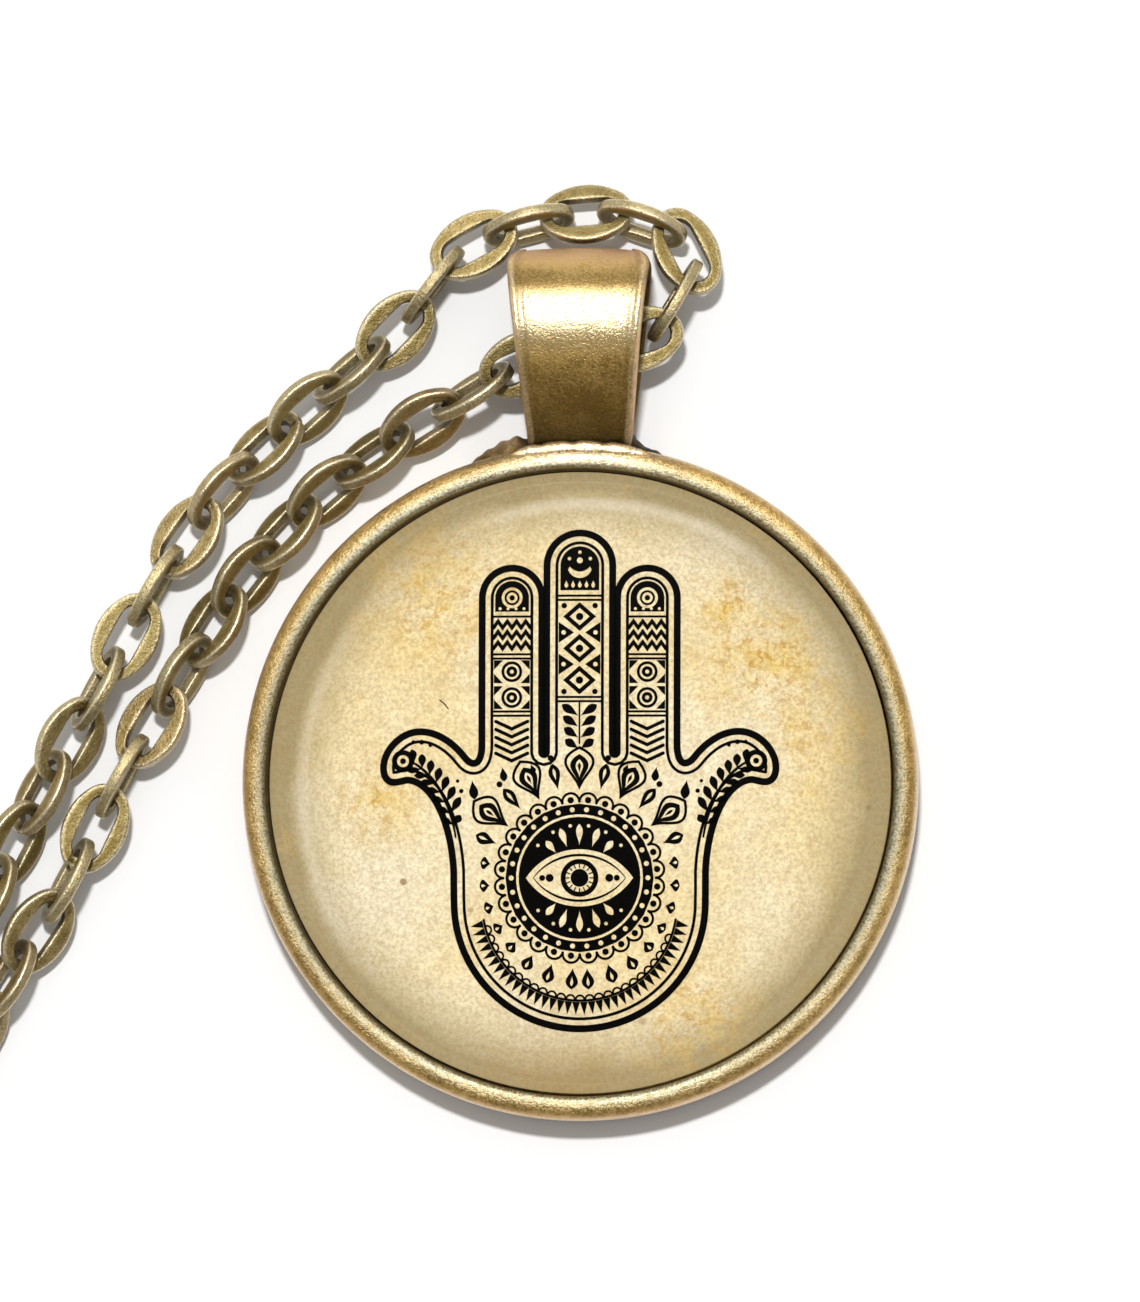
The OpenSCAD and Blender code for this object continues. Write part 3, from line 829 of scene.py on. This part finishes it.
def side_fingers(ink, bare):
    """Zigzags, ringed discs with corner triangles, then chevrons."""
    for y in (6.66, 5.14, 4.97, 2.84, 2.67):
        ink.stroke([(1.98, y), (3.46, y)], 0.09, mirror=True)
    for y in (6.34, 5.92, 5.5):
        teeth = [(1.98 + 0.1855 * k, y + (0.13 if k % 2 else -0.13)) for k in range(9)]
        ink.stroke(teeth, 0.15, mirror=True)
    for y in (4.44, 3.4):
        ink.dot(SIDE_X, y, 0.42, mirror=True)
        bare.ring(SIDE_X, y, 0.26, 0.08, mirror=True)
        bare.dot(SIDE_X, y, 0.08, mirror=True)
        for up in (-1, 1):
            for x, inward in ((2.0, 0.36), (3.44, -0.36)):
                corner = [(x, y + 0.08 * up), (x, y + 0.46 * up), (x + inward, y + 0.46 * up)]
                ink.fill(corner, mirror=True)
    for y in (2.44, 2.12, 1.8, 1.48, 1.16):
        ink.stroke([(2.08, y), (SIDE_X, y - 0.3), (3.36, y)], 0.14, mirror=True)


def thumbs(ink, bare, over):
    """A leafy twig that ends in a black tip with a dot, and loose drops and dots beside it."""
    rib = bezier((4.98, -2.2), (5.2, -0.7), (5.9, 0.5), (7.0, 0.95), 28)
    ink.stroke(rib, 0.13, mirror=True, ends=(0.6, 0.5))
    for k in range(3, 26, 3):
        ahead = rib[k + 1] - rib[k - 1]
        angle = degrees(atan2(ahead[1], ahead[0]))
        ink.drop(*rib[k], angle + 50, 0.86 - 0.012 * k if k > 5 else 0.5, 0.32, mirror=True)
        ink.drop(*rib[k], angle - 46, 0.5 if k < 8 else 0.62, 0.26, mirror=True)
    for layer, r in ((ink, 0.45), (bare, 0.24), (over, 0.12)):
        layer.dot(7.1, 0.86, r, mirror=True)
    for x, y, angle, long in ((4.32, 0.1, 262, 0.8), (3.1, 0.62, 262, 0.6), (1.95, 0.72, 250, 0.4)):
        ink.drop(x, y, angle, long, 0.34 * long + 0.1, mirror=True)
    dots = ((6.35, 1.62, 0.1), (6.0, 1.5, 0.08), (6.68, 1.62, 0.08), (4.75, -0.35, 0.09), (4.9, 0.05, 0.07))
    for x, y, r in dots:
        ink.dot(x, y, r, mirror=True)


def eye(ink, bare, over):
    """An almond eye on a black disc, set in dots and scallops."""
    ink.dot(0, EYE_Y, 2.98)
    bare.ring(0, EYE_Y, 2.5, 0.1)
    for k in range(30):
        bare.dot(*turned(0, EYE_Y, 2.75, 12 * k), 0.1)
    lid = arc(0, 0, 2.6, 34, 146, 44)
    lid = lid - (0, lid[0][1]) + (0, EYE_Y)
    low = lid * (1, -1) + (0, 2 * EYE_Y)
    bare.fill(np.vstack([lid, low[-2:0:-1]]))
    for edge in (lid, low):
        over.stroke(edge * (0.86, 0.8) + (0, 0.2 * EYE_Y), 0.1, ends=(0.3, 0.3))
    over.ring(0, EYE_Y, 0.66, 0.2)
    over.dot(0, EYE_Y, 0.36)
    for k in range(16):
        over.stroke([turned(0, EYE_Y, r, 22.5 * k) for r in (0.42, 0.6)], 0.05)
    for x, r in ((1.2, 0.16), (1.5, 0.12)):
        over.dot(x, EYE_Y, r, mirror=True)
    for up in (1, -1):
        for angle, long in ((90, 0.85), (70, 0.8), (110, 0.8), (50, 0.62), (130, 0.62)):
            a = radians(angle)
            bare.drop(1.4784 * cos(a), EYE_Y + up * 1.32 * sin(a), up * angle, long, 0.27)
        for angle in (80, 100, 60, 120, 38, 142):
            bare.dot(*turned(0, EYE_Y, 2.12, up * angle), 0.07)
    for k in range(28):
        a = 360 / 28 * (k + 0.5)
        x, y = turned(0, EYE_Y, 3.08, a)
        ink.stroke(arc(x, y, 0.34, a - 95, a + 95, 14), 0.1)
        ink.dot(*turned(x, y, 0.06, a), 0.13)


def petals(ink, bare, over):
    """Petals all round the eye, long towards the fingers."""
    for k in range(-13, 14):
        a = 90 + 13.5 * k
        x, y = turned(0, EYE_Y, 3.62, a)
        if abs(k) > 4:
            up = sin(radians(a))
            # From the eye's middle to the scallops along the palm's edge
            reach = sqrt(up**2 - 1 + 3.82**2) - up
            long = 0.9 if abs(k) == 5 else max(0.42, reach - 3.95)
            ink.drop(x, y, a, long, 0.5)
            bare.drop(*turned(x, y, 0.4 * long, a), a, 0.45 * long, 0.12)
        elif k % 2:
            ink.drop(x, y, a, 1.1, 0.46)
            bare.drop(*turned(x, y, 0.4, a), a, 0.5, 0.12)
            ink.dot(*turned(0, EYE_Y, 4.95, a), 0.12)
        else:
            ink.drop(x, y, a, 1.62, 1.12, line=0.11)
            ink.drop(*turned(x, y, 0.1, a), a, 1.26, 0.74)
            bare.drop(*turned(x, y, 0.42, a), a, 0.72, 0.3)
            over.drop(*turned(x, y, 0.6, a), a, 0.42, 0.12)


def hem(ink):
    """Scallops, a line and teeth along the palm's round end."""
    for k in range(26):
        a = 196.2 + 5.68 * k
        ink.stroke(arc(*turned(0, PALM_Y, 3.88, a), 0.17, a + 90, a + 270, 10), 0.08)
    ink.stroke(arc(0, PALM_Y, 3.92, 190, 350, 90), 0.1)
    teeth = 36
    for k in range(teeth):
        tooth = ((3.98, k), (4.5, k + 0.5), (3.98, k + 1))
        ink.fill([turned(0, PALM_Y, r, 190 + 160 / teeth * at) for r, at in tooth])


def hand():
    """Three layers of the print: black, bare paper on it, and black on that."""
    ink, bare, over = Ink(), Ink(), Ink()
    outline = silhouette()
    ink.stroke(resampled(outline, 0.06), 0.28, closed=True)
    ink.stroke(inset(outline, 0.4), 0.12, closed=True)
    fingertips(ink, bare, over)
    middle_finger(ink, bare, over)
    side_fingers(ink, bare)
    thumbs(ink, bare, over)
    eye(ink, bare, over)
    petals(ink, bare, over)
    hem(ink)
    # A hair on the paper beside the hand
    ink.stroke([(-5.62, 3.3), (-5.45, 3.18), (-5.28, 2.96)], 0.045)
    return ink, bare, over


def print_piece(name, ink, material, height):
    """One layer of the print at a height above the paper. The dome shows it as the hand was drawn."""
    flat = np.concatenate(ink.verts)
    r = np.linalg.norm(flat, axis=1)
    flat = flat * (through_glass(r) / np.maximum(r, 1e-6))[:, None]
    verts = np.column_stack([flat, np.full(len(flat), PAPER_TOP + height)])
    piece(name, verts, ink.faces, material, "printed_paper", smooth=False)


ink_layer, bare_layer, over_layer = hand()
print_piece("printed_hand", ink_layer, INK, 0.012)
print_piece("bare_marks", bare_layer, PAPER, 0.02)
print_piece("printed_marks", over_layer, INK, 0.028)


# The chain


def link_places():
    """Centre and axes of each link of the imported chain, from the moments of its solid."""
    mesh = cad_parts["chain"].data
    mesh.calc_loop_triangles()
    co = np.zeros(len(mesh.vertices) * 3)
    mesh.vertices.foreach_get("co", co)
    co = co.reshape(-1, 3) / MM
    tri = np.zeros(len(mesh.loop_triangles) * 3, int)
    mesh.loop_triangles.foreach_get("vertices", tri)
    _, same = np.unique(np.round(co, 4), axis=0, return_inverse=True)
    tri_same = same.reshape(-1)[tri].reshape(-1, 3)
    # Each vertex takes the lowest number among its neighbours until every link has a number of its own
    root = np.arange(tri_same.max() + 1)
    while True:
        low = root[tri_same].min(1)
        new = root.copy()
        for k in range(3):
            np.minimum.at(new, tri_same[:, k], low)
        new = new[new]
        if (new == root).all():
            break
        root = new
    label = root[tri_same[:, 0]]
    places = []
    for value in np.unique(label):
        corners = co[tri.reshape(-1, 3)[label == value]]
        base = corners.reshape(-1, 3).mean(0)
        a, b, c = (corners[:, k] - base for k in range(3))
        volume = np.einsum("ij,ij->i", a, np.cross(b, c)) / 6
        centre = ((a + b + c) / 4 * volume[:, None]).sum(0) / volume.sum()
        total = a + b + c
        second = sum(np.einsum("n,ni,nj->ij", volume, v, v) for v in (a, b, c, total)) / 20
        second = second / volume.sum() - np.outer(centre, centre)
        _, axes = np.linalg.eigh(second)
        places.append((base + centre, axes[:, 2], axes[:, 1], axes[:, 0]))
    return places


def link_outline(t):
    """Outer and inner point of a link at each angle t of its outline."""
    end = LINK_L / 2 - LINK_END_R
    straight = (SLOT_L - SLOT_W) / 2
    side_r = (end**2 + (LINK_W / 2) ** 2 - LINK_END_R**2) / (LINK_W - 2 * LINK_END_R)
    meet = atan2(side_r - LINK_W / 2, end)
    outer, inner = [], []
    for a in t:
        share = atan2(abs(sin(a)), abs(cos(a))) / (pi / 2)
        # The end arc takes the first half of a quarter and the side arc takes the second
        if share < 0.5:
            b, c = 2 * share * meet, share * pi
            x, y = end + LINK_END_R * cos(b), LINK_END_R * sin(b)
            u, v = straight + SLOT_W / 2 * cos(c), SLOT_W / 2 * sin(c)
        else:
            b = meet + (2 * share - 1) * (pi / 2 - meet)
            x, y = side_r * cos(b), side_r * sin(b) - (side_r - LINK_W / 2)
            u, v = straight * (2 - 2 * share), SLOT_W / 2
        sx, sy = copysign(1, cos(a)), copysign(1, sin(a))
        outer.append((sx * x, sy * y))
        inner.append((sx * u, sy * v))
    return np.array(outer), np.array(inner)


def link_mesh(count, corner_steps, edge_loops):
    """One link along X with softly rounded edges: vertices, faces, and how worn and dark each vertex is."""
    t = (np.arange(count) + 0.5) * 2 * pi / count
    outer, inner = link_outline(t)
    across = inner - outer
    width = np.linalg.norm(across, axis=1)
    across /= width[:, None]
    half = LINK_T / 2
    # Depth from the outer or the inner side, height, how worn and dark it is there, and 1 for the inner side
    section = []
    for a in np.linspace(0, pi / 2, corner_steps + 1):
        depth, height = LINK_EDGE_OUT * (1 - cos(a)), half - LINK_EDGE_OUT * (1 - sin(a))
        section.append((depth, height, 0.35 + 0.65 * sin(2 * a), 0, 0))
    if edge_loops:
        section += [(0.24, half, 0.0, 0, 0), (-0.22, half, 0.0, 0, 1)]
    for a in np.linspace(pi / 2, 0, corner_steps + 1):
        depth, height = -LINK_EDGE_IN * (1 - cos(a)), half - LINK_EDGE_IN * (1 - sin(a))
        section.append((depth, height, 0.3 + 0.5 * sin(2 * a), 0.5 * (1 - sin(a)), 1))
    section += [(d, -z, w, p, side) for d, z, w, p, side in reversed(section)]
    depth, height, worn, dark, from_inner = np.array(section).T
    at = depth + np.outer(width, from_inner)
    flat = outer[:, None] + across[:, None] * at[:, :, None]
    verts = np.dstack([flat, np.broadcast_to(height, at.shape)]).reshape(-1, 3)
    return verts, grid_faces(*at.shape), np.tile(worn, count), np.tile(dark, count)


def chain():
    """A link at the place of each packed link, with rounder ones where the photograph shows them."""
    fine, plain = link_mesh(NEAR_STEPS, 3, True), link_mesh(FAR_STEPS, 2, False)
    parts = []
    for k, (centre, ahead, side, up) in enumerate(link_places()):
        near = centre[0] > SHOWN_X and centre[1] > SHOWN_Y
        shape, quads, worn, dark = fine if near else plain
        if np.dot(np.cross(ahead, side), up) < 0:
            up = -up
        local = np.random.default_rng(1000 + k)
        if near and local.random() < 0.55:
            # The join at one end of the link, where its wire closes
            columns = len(shape) // NEAR_STEPS
            at = int(local.integers(-4, 4)) % NEAR_STEPS * columns
            join = slice(at, at + columns)
            shape, dark = shape.copy(), dark.copy()
            shape[join] += 0.3 * (shape[join].mean(0) - shape[join])
            dark[join] = 1
        values = {
            "wear_and_sheen": np.clip(worn * local.uniform(0.8, 1.1), 0, 1),
            "patina_and_shade": np.clip(dark + local.uniform(0, 0.12), 0, 1),
            "tone_and_light": np.full(len(shape), local.uniform(-1, 1)),
            "copper": np.full(len(shape), max(0.0, local.uniform(-0.15, 0.18))),
        }
        parts.append((centre + shape @ np.stack([ahead, side, up]), quads, values))
    return joined("cable_chain", parts, CHAIN_BRONZE, "antique_bronze")


links = chain()
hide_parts("chain")

# The clasp's edges are softened, and the rings are round as they are
for name in ("clasp", "ring_clasp", "ring_catch"):
    node = dressed(name, CHAIN_BRONZE)
    weld = node.modifiers.new("weld", "WELD")
    weld.merge_threshold = 0.002 * MM
    soft = node.modifiers.new("soft_edges", "BEVEL")
    soft.width, soft.segments = 0.07 * MM, 3
    soft.limit_method, soft.angle_limit = "ANGLE", radians(40)


# Stage, light and camera

# The floor lies a hair under the tray's back
bpy.ops.mesh.primitive_plane_add(size=4.0, location=(0, 0, -0.02 * MM))
ground = bpy.context.object
ground.name = "floor"
ground.data.materials.append(floor_material())

world = bpy.data.worlds.new("studio")
scene.world = world
world.use_nodes = True
world.node_tree.nodes.clear()
w = Nodes(world.node_tree)
towards = w.add("ShaderNodeTexCoord").outputs["Generated"]


def direction(azimuth, elevation):
    """The direction with that azimuth, 0 towards +X and 90 towards the bail, and elevation, in degrees."""
    a, e = radians(azimuth), radians(elevation)
    return Vector((cos(a) * cos(e), sin(a) * cos(e), sin(e)))


def lobe(azimuth, elevation, low, high):
    """1 within low degrees of a direction and 0 beyond high degrees, with a soft edge between."""
    along = w.vectors("DOT_PRODUCT", towards, direction(azimuth, elevation))
    return w.between(along, cos(radians(high)), cos(radians(low)), soft=True)


split = w.add("ShaderNodeSeparateXYZ", {0: towards})
# The walls are brighter low down and towards the bail, and dimmer behind the camera's lower side
glow = w.between(split.outputs["Z"], 0.0, 0.95, WALL, ROOF)
glow = w.times(glow, w.between(split.outputs["Y"], -1, 1, 0.45, 1.35))
# Sharp mirror images, which only the dome shows, are dim, as behind a polarising filter
singular = w.add("ShaderNodeLightPath").outputs["Is Singular Ray"]
glow = w.times(glow, w.between(singular, 0, 1, 1.0, MIRRORED))
# The pale band is at the height that the dome's outer part mirrors, and stronger on three sides
band = w.math("ABSOLUTE", w.math("SUBTRACT", split.outputs["Z"], BAND_Z))
band = w.between(band, BAND_HALF, 0.0, soft=True)
sides = w.math("MAXIMUM", w.times(lobe(178, 20, 14, 44), 0.6), lobe(84, 20, 8, 34))
sides = w.math("MAXIMUM", sides, w.times(lobe(-38, 20, 5, 24), 0.12))
glow = w.math("ADD", glow, w.times(band, w.between(sides, 0, 1, 0.2, 4.0)))
back = w.add("ShaderNodeBackground", {"Color": (1.0, 0.99, 0.98, 1.0), "Strength": glow})
w.add("ShaderNodeOutputWorld", {"Surface": back})


# The key light is a soft box that faces the pendant
lamp = bpy.data.lights.new("key", "AREA")
lamp.shape = "RECTANGLE"
lamp.size, lamp.size_y = 0.08, 0.055
lamp.energy = KEY_WATTS
key = bpy.data.objects.new("key", lamp)
scene.collection.objects.link(key)
facing = direction(92, 74)
place = Vector((0, 4, 2)) * MM + facing
key.matrix_world = Matrix.Translation(place) @ facing.to_track_quat("Z", "Y").to_matrix().to_4x4()
# The dome doesn't mirror the key light, as behind a polarising filter
beside = bpy.data.collections.new("key_passes_glass")
beside.objects.link(dome)
key.light_linking.receiver_collection = beside
beside.collection_objects[0].light_linking.link_state = "EXCLUDE"

tilt_x, tilt_y = (tan(radians(tilt)) for tilt in VIEW_TILT)
toward_camera = Vector((tilt_x, -tilt_y, 1)).normalized()
right = Vector((0, 1, 0)).cross(toward_camera).normalized()
turn = Matrix((right, toward_camera.cross(right), toward_camera)).transposed().to_4x4()
camera = bpy.data.objects.new("camera", bpy.data.cameras.new("camera"))
scene.collection.objects.link(camera)
camera.data.sensor_width = 36
camera.data.lens = VIEW_LENS
camera.data.clip_start = 0.01
camera.matrix_world = Matrix.Translation(Vector(VIEW_TARGET) * MM + toward_camera * VIEW_DISTANCE) @ turn
scene.camera = camera

scene.view_settings.view_transform = "Standard"
scene.view_settings.look = "None"
scene.view_settings.exposure = 0.0
